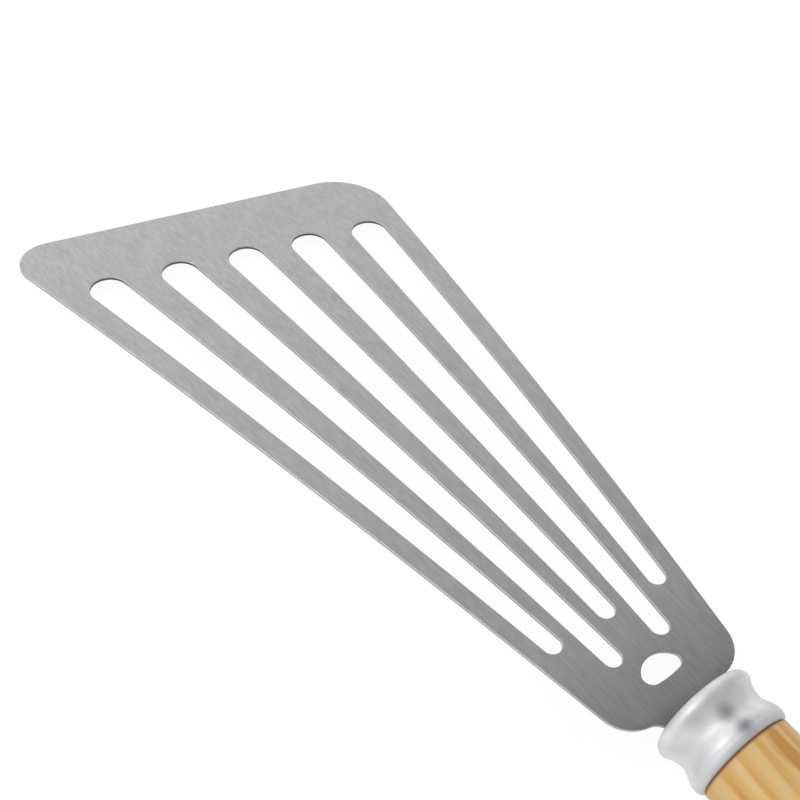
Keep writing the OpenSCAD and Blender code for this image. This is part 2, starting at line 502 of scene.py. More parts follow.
class StageSettings(bpy.types.PropertyGroup):
    """Floor, light and camera."""

    camera_place: FloatVectorProperty(
        name="Camera Place",
        description="Where the camera stands",
        default=(-0.07831, 0.14169, 0.24756),
        subtype="TRANSLATION",
        unit="LENGTH",
        precision=5,
    )
    camera_turn: FloatVectorProperty(
        name="Camera Turn",
        description="How the camera is turned",
        default=(math.radians(40.108), math.radians(-6.045), math.radians(-127.861)),
        subtype="EULER",
        unit="ROTATION",
    )
    camera_lens: FloatProperty(
        name="Lens",
        description="Focal length in millimetres on a sensor 36 millimetres wide",
        default=67.3686,
        min=20.0,
        max=200.0,
    )
    floor_half: FloatProperty(
        name="Floor Reach",
        description="Distance from the middle of the floor to its sides",
        default=4.0,
        min=1.0,
        max=10.0,
        unit="LENGTH",
    )
    floor_color: FloatVectorProperty(
        name="Floor",
        description="Colour of the floor",
        default=(0.93, 0.93, 0.93),
        min=0.0,
        max=1.0,
        subtype="COLOR",
    )
    shadow_share: FloatProperty(
        name="Shadow",
        description="How much of the shadow on the floor is seen",
        default=0.12,
        min=0.0,
        max=1.0,
        subtype="FACTOR",
    )
    room_light: FloatProperty(
        name="Room Light",
        description="Brightness of the light that comes from all around",
        default=0.72,
        min=0.0,
        max=2.0,
    )
    key_place: FloatVectorProperty(
        name="Key Place",
        description="Where the soft lamp stands",
        default=(0.49, 0.75, 0.79),
        subtype="TRANSLATION",
        unit="LENGTH",
    )
    key_size: FloatProperty(
        name="Key Size",
        description="Length of a side of the soft lamp",
        default=0.8,
        min=0.05,
        max=3.0,
        unit="LENGTH",
    )
    key_power: FloatProperty(
        name="Key Power",
        description="Power of the soft lamp",
        default=3.0,
        min=0.0,
        max=50.0,
        unit="POWER",
    )


def feed(tree, socket, value):
    """Links what feeds a socket, or sets its number, colour or vector."""
    if isinstance(value, bpy.types.NodeSocket):
        tree.links.new(value, socket)
    else:
        socket.default_value = value


def add_node(tree, kind, values=None, **settings):
    """A new node. A value is a number or colour for its socket, or the socket that feeds it."""
    node = tree.nodes.new(kind)
    for name, setting in settings.items():
        setattr(node, name, setting)
    for name, value in (values or {}).items():
        feed(tree, node.inputs[name], value)
    return node


def vector_math(tree, operation, first, second=(0.0, 0.0, 0.0)):
    """A Vector Math node."""
    return add_node(tree, "ShaderNodeVectorMath", {0: first, 1: second}, operation=operation)


def mix_colors(tree, mask, first, second):
    """The colour that goes from the first to the second where the mask is 1."""
    node = add_node(tree, "ShaderNodeMix", data_type="RGBA")
    feed(tree, node.inputs[0], mask)
    for number, value in ((6, first), (7, second)):
        plain = not isinstance(value, bpy.types.NodeSocket)
        feed(tree, node.inputs[number], (*value, 1.0) if plain else value)
    return node.outputs[2]


def calculate(tree, operation, first, second=0.0, third=0.0, clamp=False):
    """The result of a Math node."""
    values = {0: first, 1: second, 2: third}
    node = add_node(tree, "ShaderNodeMath", values, operation=operation, use_clamp=clamp)
    return node.outputs[0]


def blend_in(tree, mask, share, first, second):
    """The first colour, with a share of the second where the mask is 1."""
    return mix_colors(tree, calculate(tree, "MULTIPLY", mask, share), first, second)


def remap(tree, value, low, high, new_low, new_high, smooth=False):
    """The value moved from one span to another, and kept inside it."""
    node = add_node(
        tree,
        "ShaderNodeMapRange",
        {0: value, 1: low, 2: high, 3: new_low, 4: new_high},
        interpolation_type="SMOOTHSTEP" if smooth else "LINEAR",
    )
    return node.outputs[0]


def stretched_noise(tree, place, waves):
    """Noise with so many waves in a metre along X, Y and Z: 0 to 1."""
    mapped = add_node(tree, "ShaderNodeMapping", {"Vector": place, "Scale": waves}).outputs[0]
    noise = {"Vector": mapped, "Scale": 1.0, "Detail": 2.0}
    return add_node(tree, "ShaderNodeTexNoise", noise).outputs["Fac"]


def bump(tree, strength, depth, height, **below):
    """The normal of a surface raised by a height, on top of the bump below it."""
    values = {"Strength": strength, "Distance": depth, "Height": height, **below}
    return add_node(tree, "ShaderNodeBump", values).outputs[0]


def place_nodes(tree):
    """Sets the nodes in columns, from the output on the right to the coordinates on the left."""
    column = {}
    waiting = [(node, 0) for node in tree.nodes if not any(s.is_linked for s in node.outputs)]
    while waiting:
        node, number = waiting.pop()
        if column.get(node.name, -1) >= number:
            continue
        column[node.name] = number
        for socket in node.inputs:
            for link in socket.links:
                waiting.append((link.from_node, number + 1))
    filled = {}
    for node in tree.nodes:
        number = column.get(node.name, 0)
        node.location = (-240 * number, -220 * filled.get(number, 0))
        filled[number] = filled.get(number, 0) + 1


def new_group(name, inputs, outputs):
    """An empty shader node group, with its input and output nodes."""
    group = bpy.data.node_groups.new(name, "ShaderNodeTree")
    for label, kind, default in inputs:
        socket = group.interface.new_socket(name=label, in_out="INPUT", socket_type=kind)
        if default is not None:
            socket.default_value = default
    for label, kind in outputs:
        group.interface.new_socket(name=label, in_out="OUTPUT", socket_type=kind)
    return group, group.nodes.new("NodeGroupInput"), group.nodes.new("NodeGroupOutput")


def raise_contrast(group, noise, given, output):
    """Spreads the noise about its middle by the group's contrast and puts it out."""
    centred = calculate(group, "SUBTRACT", noise.outputs["Fac"], 0.5)
    raised = calculate(group, "MULTIPLY_ADD", centred, given.outputs["Contrast"], 0.5, clamp=True)
    group.links.new(raised, output)


def fade_out(group, distance, given, output):
    """Puts out 1 at no distance, which fades softly to 0 at the group's reach."""
    share = calculate(group, "DIVIDE", distance, given.outputs["Reach"])
    group.links.new(remap(group, share, 0.0, 1.0, 1.0, 0.0, smooth=True), output)


def build_long_lines():
    """Lines along X, as brushing leaves on steel and fibres leave in wood: 0 to 1."""
    group, given, result = new_group(
        "Long Lines",
        (
            ("Vector", "NodeSocketVector", None),
            ("Length", "NodeSocketFloat", 0.02),
            ("Width", "NodeSocketFloat", 0.0003),
            ("Contrast", "NodeSocketFloat", 1.0),
        ),
        (("Lines", "NodeSocketFloat"),),
    )
    along = calculate(group, "DIVIDE", 1.0, given.outputs["Length"])
    across = calculate(group, "DIVIDE", 1.0, given.outputs["Width"])
    steps = add_node(group, "ShaderNodeCombineXYZ", {"X": along, "Y": across, "Z": across})
    stretched = vector_math(group, "MULTIPLY", given.outputs["Vector"], steps.outputs[0])
    noise = add_node(
        group,
        "ShaderNodeTexNoise",
        {"Vector": stretched.outputs[0], "Scale": 1.0, "Detail": 3.0, "Roughness": 0.62},
    )
    raise_contrast(group, noise, given, result.inputs["Lines"])
    place_nodes(group)
    return group


def build_soft_clouds():
    """Slow changes over the surface, as polishing or handling leaves: 0 to 1."""
    group, given, result = new_group(
        "Soft Clouds",
        (
            ("Vector", "NodeSocketVector", None),
            ("Size", "NodeSocketFloat", 0.01),
            ("Contrast", "NodeSocketFloat", 1.5),
        ),
        (("Clouds", "NodeSocketFloat"),),
    )
    scale = calculate(group, "DIVIDE", 1.0, given.outputs["Size"])
    noise = add_node(
        group,
        "ShaderNodeTexNoise",
        {"Vector": given.outputs["Vector"], "Scale": scale, "Detail": 2.0, "Roughness": 0.5},
    )
    raise_contrast(group, noise, given, result.inputs["Clouds"])
    place_nodes(group)
    return group


def build_band_beside():
    """1 at a place along X, fading to 0 on both sides of it, as beside a joint."""
    group, given, result = new_group(
        "Band Beside a Joint",
        (
            ("Vector", "NodeSocketVector", None),
            ("Place", "NodeSocketFloat", 0.0),
            ("Reach", "NodeSocketFloat", 0.002),
        ),
        (("Band", "NodeSocketFloat"),),
    )
    parts = add_node(group, "ShaderNodeSeparateXYZ", {0: given.outputs["Vector"]})
    away = calculate(group, "SUBTRACT", parts.outputs["X"], given.outputs["Place"])
    distance = calculate(group, "ABSOLUTE", away)
    fade_out(group, distance, given, result.inputs["Band"])
    place_nodes(group)
    return group


def build_reflection_spot():
    """1 at a place on the piece, fading softly to 0 all round it."""
    group, given, result = new_group(
        "Painted Reflection Spot",
        (
            ("Vector", "NodeSocketVector", None),
            ("Place", "NodeSocketVector", None),
            ("Reach", "NodeSocketFloat", 0.002),
        ),
        (("Spot", "NodeSocketFloat"),),
    )
    distance = vector_math(group, "DISTANCE", given.outputs["Vector"], given.outputs["Place"])
    fade_out(group, distance.outputs["Value"], given, result.inputs["Spot"])
    place_nodes(group)
    return group


GROUP_BUILDERS = {
    "Long Lines": build_long_lines,
    "Soft Clouds": build_soft_clouds,
    "Band Beside a Joint": build_band_beside,
    "Painted Reflection Spot": build_reflection_spot,
}


def effect(tree, group, place, **values):
    """What a shared node group puts out at the place, with the given values for its inputs."""
    node = tree.nodes.new("ShaderNodeGroup")
    node.node_tree = bpy.data.node_groups.get(group) or GROUP_BUILDERS[group]()
    feed(tree, node.inputs["Vector"], place)
    for name, value in values.items():
        feed(tree, node.inputs[name], value)
    return node.outputs[0]


def new_tree(owner):
    """The owner's node tree, emptied."""
    owner.use_nodes = True
    owner.node_tree.nodes.clear()
    return owner.node_tree


def new_material(name):
    """A material with only its shader and output, and the place on the piece to read."""
    material = bpy.data.materials.new(name)
    tree = new_tree(material)
    output = tree.nodes.new("ShaderNodeOutputMaterial")
    shader = tree.nodes.new("ShaderNodeBsdfPrincipled")
    tree.links.new(shader.outputs[0], output.inputs["Surface"])
    place = tree.nodes.new("ShaderNodeTexCoord").outputs["Object"]
    return material, tree, shader, place


def finish_surface(tree, shader, color, roughness, normal):
    """Feeds the shader with what changes over the surface, and sets the nodes in order."""
    tree.links.new(color, shader.inputs["Base Color"])
    tree.links.new(roughness, shader.inputs["Roughness"])
    tree.links.new(normal, shader.inputs["Normal"])
    place_nodes(tree)


def slant_direction(settings):
    """Direction square to the leading edge, in the plane of the blade."""
    return Vector((math.cos(settings.edge_slant), -math.sin(settings.edge_slant), 0.0))


def brushed_steel(settings):
    """Stainless steel brushed along the blade, a little cloudy, with painted shade towards the
    bolster.
    """
    material, tree, shader, place = new_material("brushed_steel_fan")
    fine = effect(tree, "Long Lines", place, Length=0.0035, Width=0.00042, Contrast=3.4)
    wide = effect(tree, "Long Lines", place, Length=0.030, Width=0.0009, Contrast=2.4)
    clouds = effect(tree, "Soft Clouds", place, Size=0.007, Contrast=2.4)
    neck = effect(tree, "Band Beside a Joint", place, Place=FRONT_X, Reach=0.027)
    joint = effect(tree, "Band Beside a Joint", place, Place=FRONT_X, Reach=0.005)
    fine_share = 0.50
    wide_share = 0.22
    cloud_share = 0.23
    fine_part = calculate(tree, "MULTIPLY", fine, fine_share)
    lines = calculate(tree, "MULTIPLY_ADD", wide, wide_share, fine_part)
    tone = calculate(tree, "MULTIPLY_ADD", clouds, cloud_share, lines)
    color = mix_colors(tree, tone, settings.steel_dark, settings.steel_light)
    # Painted shade towards the bolster: a wide band, and a narrow one at the joint
    color = blend_in(tree, neck, 0.31, color, settings.neck_painted_shade)
    color = blend_in(tree, joint, 0.45, color, settings.neck_painted_shade)
    roughness = remap(tree, tone, 0.0, 1.0, 0.40, 0.31)
    shader.inputs["Metallic"].default_value = 1.0
    finish_surface(tree, shader, color, roughness, bump(tree, 0.12, 0.00004, lines))
    return material


def slot_end_shade_mask(tree, place, settings):
    """Painted shade: 1 on the walls at the wide slot ends, and 0 on the other walls of the sheet.
    """
    from_neck = vector_math(tree, "SUBTRACT", place, NECK).outputs[0]
    along = vector_math(tree, "DOT_PRODUCT", from_neck, slant_direction(settings)).outputs["Value"]
    start = settings.slot_end_distance
    on = remap(tree, along, start, start + DARKEST, 0.0, 1.0, smooth=True)
    off = remap(tree, along, start + FADE_START, start + PLAIN_AGAIN, 1.0, 0.0)
    from_center = vector_math(tree, "SUBTRACT", place, FAN_CENTER).outputs[0]
    parts = add_node(tree, "ShaderNodeSeparateXYZ", {0: from_center})
    sideways = calculate(tree, "ABSOLUTE", parts.outputs["Y"])
    slope = calculate(tree, "DIVIDE", sideways, parts.outputs["X"])
    in_slot = remap(tree, slope, SLOT_SLOPE, EDGE_SLOPE, 1.0, 0.0)
    return calculate(tree, "MULTIPLY", calculate(tree, "MULTIPLY", on, off), in_slot)


def punched_steel(settings):
    """Punched walls of the sheet, bright along the sides, with painted shade at the wide slot ends.
    """
    material, tree, shader, place = new_material("punched_steel_walls")
    lines = stretched_noise(tree, place, (4500, 4500, 500))
    clouds = effect(tree, "Soft Clouds", place, Size=0.006, Contrast=1.5)
    worn_share = 0.8
    worn = tuple(worn_share * part for part in settings.punched_color)
    color = mix_colors(tree, lines, worn, settings.punched_color)
    # Painted shade on the walls at the wide slot ends, which mirror the shaded floor under the
    # blade
    dark = slot_end_shade_mask(tree, place, settings)
    color = mix_colors(tree, dark, color, settings.slot_end_painted_shade)
    roughness = remap(tree, clouds, 0.0, 1.0, 0.42, 0.58)
    shader.inputs["Metallic"].default_value = 1.0
    finish_surface(tree, shader, color, roughness, bump(tree, 0.3, 0.00003, lines))
    return material


def satin_metal(settings):
    """Cast metal polished to a satin, with cloudy patches and shallow waves left by hand."""
    material, tree, shader, place = new_material("satin_cast_metal")
    clouds = effect(tree, "Soft Clouds", place, Size=0.0045, Contrast=2.2)
    waves = effect(tree, "Soft Clouds", place, Size=0.007, Contrast=1.4)
    around = stretched_noise(tree, place, (6000, 160, 160))
    rear = effect(tree, "Band Beside a Joint", place, Place=bolster_low.x, Reach=0.0032)
    color = mix_colors(tree, clouds, settings.metal_light, settings.metal_dull)
    # Painted dark reflections: soft dark spots round the waist
    for offset, reach, share in PAINTED_DARK_REFLECTIONS:
        spot = effect(tree, "Painted Reflection Spot", place, Place=AXIS + Vector(offset), Reach=reach)
        color = blend_in(tree, spot, share, color, settings.painted_reflection_color)
    # Painted shade in the bluish band beside the wood; the same band also raises the roughness
    # below
    color = blend_in(tree, rear, 0.6, color, settings.rear_painted_shade)
    lines_share = 0.25
    rear_share = 1.6
    dullness = calculate(tree, "MULTIPLY_ADD", around, lines_share, clouds)
    dullness = calculate(tree, "MULTIPLY_ADD", rear, rear_share, dullness)
    roughness = remap(tree, dullness, 0.0, 2.4, 0.38, 0.66)
    shader.inputs["Metallic"].default_value = 0.55
    fine = bump(tree, 0.08, 0.00003, around)
    finish_surface(tree, shader, color, roughness, bump(tree, 0.35, 0.0004, waves, Normal=fine))
    return material


def growth_rings(tree, place):
    """Late wood of the rings round a heart that runs beside the handle: 0 to 1."""
    bend = effect(tree, "Long Lines", place, Length=0.05, Width=0.009)
    moved = {
        "Vector": place,
        "Location": HEART_OFFSET,
        "Rotation": HEART_TURN,
        "Scale": (MILLIMETRES,) * 3,
    }
    heart = add_node(tree, "ShaderNodeMapping", moved).outputs[0]
    parts = add_node(tree, "ShaderNodeSeparateXYZ", {0: heart})
    flat = add_node(
        tree, "ShaderNodeCombineXYZ", {"Y": parts.outputs["Y"], "Z": parts.outputs["Z"]}
    )
    from_heart = vector_math(tree, "LENGTH", flat.outputs[0]).outputs["Value"]
    wavering = calculate(tree, "MULTIPLY_ADD", bend, RING_WAVER, from_heart)
    year = calculate(tree, "FRACT", calculate(tree, "DIVIDE", wavering, RING_WIDTH))
    rise = remap(tree, year, 0.15, 0.78, 0.0, 1.0, smooth=True)
    fall = remap(tree, year, 0.80, 1.0, 1.0, 0.0, smooth=True)
    ring = calculate(tree, "MULTIPLY", rise, fall)
    strength = effect(tree, "Long Lines", place, Length=0.06, Width=0.0035, Contrast=2.2)
    return calculate(tree, "MULTIPLY", ring, remap(tree, strength, 0.2, 0.9, 0.35, 1.0))


def oiled_ash(settings):
    """Pale wood with growth rings, warm patches, fibres and open pores."""
    material, tree, shader, place = new_material("oiled_ash_wood")
    late = growth_rings(tree, place)
    color = mix_colors(tree, late, settings.wood_pale, settings.wood_ring)
    patches = effect(tree, "Long Lines", place, Length=0.045, Width=0.0075, Contrast=3.0)
    warm = remap(tree, patches, 0.55, 0.95, 0.0, 1.0, smooth=True)
    color = blend_in(tree, warm, 0.85, color, settings.wood_heart)
    fibres = effect(tree, "Long Lines", place, Length=0.010, Width=0.00016, Contrast=2.2)
    between = remap(tree, fibres, 0.0, 1.0, 0.22, 0.0)
    color = mix_colors(tree, between, color, settings.wood_ring)
    pores = effect(tree, "Long Lines", place, Length=0.0026, Width=0.00011, Contrast=4.0)
    open_pore = calculate(tree, "MULTIPLY", remap(tree, pores, 0.86, 1.0, 0.0, 1.0), late)
    color = blend_in(tree, open_pore, 0.5, color, settings.wood_heart)
    edge = effect(tree, "Band Beside a Joint", place, Place=bolster_low.x, Reach=0.0009)
    # The wood darkens in a narrow band beside the bolster
    color = mix_colors(tree, edge, color, settings.wood_edge)
    roughness = remap(tree, fibres, 0.0, 1.0, 0.56, 0.46)
    shader.inputs["Coat Weight"].default_value = 0.12
    shader.inputs["Coat Roughness"].default_value = 0.3
    fibre_share = 0.3
    fibre_part = calculate(tree, "MULTIPLY", fibres, fibre_share)
    grain = calculate(tree, "MULTIPLY_ADD", open_pore, -1.0, fibre_part)
    finish_surface(tree, shader, color, roughness, bump(tree, 0.25, 0.00005, grain))
    return material


def cured_adhesive():
    """Cured glue, honey coloured and slightly cloudy, with small bubbles."""
    material, tree, shader, place = new_material("cured_adhesive")
    clouds = effect(tree, "Soft Clouds", place, Size=0.004, Contrast=1.8)
    cells = add_node(tree, "ShaderNodeTexVoronoi", {"Vector": place, "Scale": 900.0})
    bubbles = remap(tree, cells.outputs["Distance"], 0.12, 0.22, 0.0, 1.0, smooth=True)
    color = mix_colors(tree, clouds, GLUE_DEEP, GLUE_PALE)
    roughness = remap(tree, clouds, 0.0, 1.0, 0.35, 0.5)
    finish_surface(tree, shader, color, roughness, bump(tree, 0.3, 0.0001, bubbles))
    return material


def new_object(name, shape, materials):
    """An object made of a bmesh, in the scene."""
    mesh = bpy.data.meshes.new(name)
    shape.to_mesh(mesh)
    shape.free()
    for material in materials:
        mesh.materials.append(material)
    made = bpy.data.objects.new(name, mesh)
    bpy.context.scene.collection.objects.link(made)
    return made


def add_piece(name, shape, materials, node):
    """An object made of a bmesh, which stands for a node of the frame and rides on its body."""
    piece = new_object(name, shape, materials)
    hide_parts(node)
    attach(piece, BODY)
    return piece


def merged_copy(node):
    """A bmesh of a node's triangles, joined where they meet."""
    shape = bmesh.new()
    shape.from_mesh(node.data)
    bmesh.ops.remove_doubles(shape, verts=shape.verts, dist=MERGE_DISTANCE)
    return shape


def cut_across(shape, places, direction):
    """Cuts the shape through at each of the places, square to the direction."""
    for place in places:
        bmesh.ops.bisect_plane(
            shape,
            geom=shape.verts[:] + shape.edges[:] + shape.faces[:],
            dist=MERGE_DISTANCE,
            plane_co=place,
            plane_no=direction,
        )


def shade_smooth(shape, sharp_angle=math.tau):
    """Smooths the shading, except over the edges that turn by more than the sharp angle."""
    for face in shape.faces:
        face.smooth = True
    for edge in shape.edges:
        edge.smooth = edge.calc_face_angle(0.0) < sharp_angle


def keep_flats_even(piece):
    """Lets the large faces set the shading beside a rounded rim, so that flats look flat."""
    flats = piece.modifiers.new("Even Flats", "WEIGHTED_NORMAL")
    flats.weight = FLAT_WEIGHT
    return flats


def ease(share):
    """Goes from 0 to 1 and is level at both ends."""
    return share * share * (3 - 2 * share)


def flat_outline(node, settings):
    """The upper side of the sheet with its slots, laid flat at the foot of its rounded rim."""
    shape = merged_copy(node)
    rest = [face for face in shape.faces if face.normal.z < 0.5]
    bmesh.ops.delete(shape, geom=rest, context="FACES")
    for vert in shape.verts:
        vert.co.z = settings.sheet_thickness / 2 - settings.edge_round
    bmesh.ops.remove_doubles(shape, verts=shape.verts, dist=SHORT_EDGE)
    bmesh.ops.dissolve_limit(shape, angle_limit=FLAT_ANGLE, verts=shape.verts, edges=shape.edges)
    return shape


def bow_hole(shape, settings):
    """Bows the flat side of the hanging hole a little towards the bolster."""
    flat = FRONT_X + HOLE_X
    sides = [
        edge
        for edge in shape.edges
        if edge.is_boundary
        and edge.calc_length() > SHORTEST_SIDE
        and all(
            abs(vert.co.x - flat) < HOLE_MARGIN and abs(vert.co.y - AXIS.y) < HOLE_REACH
            for vert in edge.verts
        )
    ]
    bmesh.ops.subdivide_edges(shape, edges=sides, cuts=BOW_CUTS)
    for vert in shape.verts:
        beside = (vert.co.y - AXIS.y - BOW_SHIFT) / BOW_HALF
        height = vert.co.x - flat
        if vert.is_boundary and abs(beside) < 1 and -HOLE_MARGIN < height < BOW_FADE:
            vert.co.x -= settings.hole_bow * (1 - beside**2) * (1 - height / BOW_FADE)


def round_rims(shape, settings):
    """Rounds the rims by a row of narrow insets that climb to the flat, then adds the walls."""
    steps = settings.edge_segments
    flat = shape.faces[:]
    for number in range(steps):
        low = math.pi / 2 * number / steps
        high = math.pi / 2 * (number + 1) / steps
        bmesh.ops.inset_region(
            shape,
            faces=flat,
            thickness=settings.edge_round * (math.cos(low) - math.cos(high)),
            use_boundary=True,
            use_even_offset=True,
        )
        corners = list({vert for face in flat for vert in face.verts})
        rise = settings.edge_round * (math.sin(high) - math.sin(low))
        bmesh.ops.translate(shape, verts=corners, vec=(0.0, 0.0, rise))
    rim = [edge for edge in shape.edges if edge.is_boundary]
    walls = bmesh.ops.extrude_edge_only(shape, edges=rim)["geom"]
    for part in walls:
        if isinstance(part, bmesh.types.BMVert):
            part.co.z = 0.0
        elif isinstance(part, bmesh.types.BMFace):
            part.material_index = 1
    bmesh.ops.mirror(
        shape,
        geom=shape.verts[:] + shape.edges[:] + shape.faces[:],
        matrix=Matrix.Identity(4),
        merge_dist=MERGE_DISTANCE,
        axis="Z",
    )
    bmesh.ops.remove_doubles(shape, verts=shape.verts, dist=MERGE_DISTANCE)
    bmesh.ops.recalc_face_normals(shape, faces=shape.faces)


def follow_arch(shape, settings):
    """Cuts the flat sheet into strips across the arch and bends it down towards its edge."""
    direction = slant_direction(settings)
    reach = max((vert.co - NECK).dot(direction) for vert in shape.verts)
    cuts = range(int(reach / settings.strip_length) + 1)
    places = [NECK + direction * (number * settings.strip_length) for number in cuts]
    cut_across(shape, places, direction)
    for vert in shape.verts:
        along = max(0.0, (vert.co - NECK).dot(direction))
        radius = settings.arch_radius + vert.co.z
        vert.co.z = AXIS.z - settings.arch_radius + math.sqrt(radius**2 - along**2)


class SPATULA_OT_add_blade(bpy.types.Operator):
    """Add the brushed steel fan with its rounded edges"""

    bl_idname = "spatula.add_blade"
    bl_label = "Add Fan Blade"
    bl_options = {"REGISTER", "UNDO"}

    def execute(self, context):
        settings = context.scene.spatula_blade
        shape = flat_outline(frame["nodes"]["blade"], settings)
        bow_hole(shape, settings)
        round_rims(shape, settings)
        follow_arch(shape, settings)
        shade_smooth(shape)
        materials = (brushed_steel(settings), punched_steel(settings))
        piece = add_piece("fan_blade", shape, materials, "blade")
        keep_flats_even(piece)
        return {"FINISHED"}


def fill_shoulder(shape, settings):
    """Fills the hollow between the waist and the rear rim, so that it swells towards the wood."""
    waist = FRONT_X - settings.waist_distance
    crown = FRONT_X - settings.crown_distance
    rim = FRONT_X - settings.rim_distance
    strips = math.ceil((waist - rim) / settings.ring_length)
    places = [(waist + (rim - waist) * number / strips, 0.0, 0.0) for number in range(strips + 1)]
    cut_across(shape, places, (1.0, 0.0, 0.0))
    swelling = settings.rim_radius - settings.waist_radius
    for vert in shape.verts:
        arm = Vector((0.0, vert.co.y - AXIS.y, vert.co.z - AXIS.z))
        outside = arm.length > settings.waist_radius - WALL_MARGIN
        if outside and rim - MERGE_DISTANCE < vert.co.x < waist + MERGE_DISTANCE:
            share = ease(min(1.0, max(0.0, (waist - vert.co.x) / (waist - crown))))
            radius = settings.waist_radius + swelling * share
            vert.co += arm * (radius / arm.length - 1)


class SPATULA_OT_add_bolster(bpy.types.Operator):
    """Add the waisted bolster with its swelling rear and its satin metal"""

    bl_idname = "spatula.add_bolster"
    bl_label = "Add Bolster"
    bl_options = {"REGISTER", "UNDO"}

    def execute(self, context):
        settings = context.scene.spatula_bolster
        shape = merged_copy(frame["nodes"]["bolster"])
        fill_shoulder(shape, settings)
        shade_smooth(shape, SHARP_ANGLE)
        materials = (satin_metal(settings),)
        piece = add_piece("waisted_bolster", shape, materials, "bolster")
        keep_flats_even(piece).keep_sharp = True
        return {"FINISHED"}


def grip_radius(settings, distance):
    """Radius of the grip at a distance behind the bolster."""
    root = settings.root_diameter / 2
    belly = settings.belly_diameter / 2
    butt = settings.butt_diameter / 2
    if distance < settings.belly_distance:
        return root + (belly - root) * ease(distance / settings.belly_distance)
    rest = settings.grip_length - settings.belly_distance
    return belly + (butt - belly) * ease((distance - settings.belly_distance) / rest)


def grip_outline(settings):
    """Points of the grip's outline: distance behind the bolster, and radius."""
    root = settings.root_diameter / 2
    points = [(0.0, root - settings.root_chamfer), (settings.root_chamfer, root)]
    straight = settings.grip_length - settings.butt_round
    for number in range(1, settings.grip_rings + 1):
        distance = number * straight / settings.grip_rings
        points.append((distance, grip_radius(settings, distance)))
    for number in range(1, settings.butt_rings):
        angle = math.pi / 2 * number / settings.butt_rings
        distance = settings.grip_length - settings.butt_round * (1 - math.sin(angle))
        points.append((distance, grip_radius(settings, distance) * math.sqrt(math.cos(angle))))
    points.append((settings.grip_length, 0.0))
    return points


class SPATULA_OT_add_handle(bpy.types.Operator):
    """Add the turned wooden handle with its tenon and its bore"""

    bl_idname = "spatula.add_handle"
    bl_label = "Add Turned Handle"
    bl_options = {"REGISTER", "UNDO"}

    def execute(self, context):
        settings = context.scene.spatula_handle
        back = bolster_low.x
        tenon = handle_high.x - back
        bore_radius = settings.bore_diameter / 2
        tenon_radius = settings.tenon_diameter / 2
        points = [(settings.bore_depth, 0.0), (settings.bore_depth, bore_radius)]
        points += [(-tenon, bore_radius), (-tenon, tenon_radius), (0.0, tenon_radius)]
        points += grip_outline(settings)
        shape = bmesh.new()
        verts = [shape.verts.new((back - x, AXIS.y, AXIS.z + radius)) for x, radius in points]
        edges = [shape.edges.new(pair) for pair in zip(verts, verts[1:])]
        bmesh.ops.spin(
            shape,
            geom=verts + edges,
            cent=AXIS,
            axis=(1.0, 0.0, 0.0),
            angle=2 * math.pi,
            steps=settings.turn_steps,
            use_merge=True,
        )
        bmesh.ops.remove_doubles(shape, verts=shape.verts, dist=MERGE_DISTANCE)
        bmesh.ops.recalc_face_normals(shape, faces=shape.faces)
        shade_smooth(shape, SHARP_ANGLE)
        add_piece("turned_handle", shape, (oiled_ash(settings),), "handle")
        return {"FINISHED"}


class SPATULA_OT_finish_adhesive(bpy.types.Operator):
    """Give the hidden adhesive its colour"""

    bl_idname = "spatula.finish_adhesive"
    bl_label = "Finish Adhesive"
    bl_options = {"REGISTER", "UNDO"}

    def execute(self, context):
        for slot in frame["nodes"]["tang_adhesive"].material_slots:
            slot.material = cured_adhesive()
        return {"FINISHED"}


def mirrored_rays(tree, path):
    """1 for the rays that metal mirrors or glass lets through."""
    return calculate(
        tree, "MAXIMUM", path.outputs["Is Glossy Ray"], path.outputs["Is Transmission Ray"]
    )


def floor_material(settings):
    """Plain pale floor that the camera and reflections see as white, with a faint shadow."""
    material = bpy.data.materials.new("pale_floor")
    tree = new_tree(material)
    path = tree.nodes.new("ShaderNodeLightPath")
    plain = add_node(tree, "ShaderNodeBsdfDiffuse", {"Color": (*settings.floor_color, 1.0)})
    white = add_node(
        tree, "ShaderNodeEmission", {"Color": (*WHITE, 1.0), "Strength": FLOOR_STRENGTH}
    )
    seen = calculate(tree, "MULTIPLY", mirrored_rays(tree, path), MIRRORED_FLOOR)
    camera = calculate(tree, "MULTIPLY", path.outputs["Is Camera Ray"], 1 - settings.shadow_share)
    share = calculate(tree, "MAXIMUM", camera, seen)
    mixed = add_node(
        tree, "ShaderNodeMixShader", {0: share, 1: plain.outputs[0], 2: white.outputs[0]}
    )
    output = tree.nodes.new("ShaderNodeOutputMaterial")
    tree.links.new(mixed.outputs[0], output.inputs["Surface"])
    place_nodes(tree)
    return material


def studio_world(settings):
    """White to the camera, even to matt surfaces, and brighter on one side to shiny ones."""
    world = bpy.data.worlds.new("pale_studio")
    tree = new_tree(world)
    path = tree.nodes.new("ShaderNodeLightPath")
    direction = tree.nodes.new("ShaderNodeTexCoord").outputs["Generated"]
    side = vector_math(tree, "DOT_PRODUCT", direction, BRIGHT_SIDE).outputs["Value"]
    walls = remap(tree, side, -1.0, 0.2, MIRRORED_DARK, MIRRORED_BRIGHT)
    gray = add_node(tree, "ShaderNodeCombineColor", {0: walls, 1: walls, 2: walls}).outputs[0]
    room = (settings.room_light,) * 3
    even = mix_colors(tree, path.outputs["Is Camera Ray"], room, WHITE)
    color = mix_colors(tree, mirrored_rays(tree, path), even, gray)
    background = add_node(tree, "ShaderNodeBackground", {"Color": color, "Strength": 1.0})
    output = tree.nodes.new("ShaderNodeOutputWorld")
    tree.links.new(background.outputs[0], output.inputs["Surface"])
    place_nodes(tree)
    return world


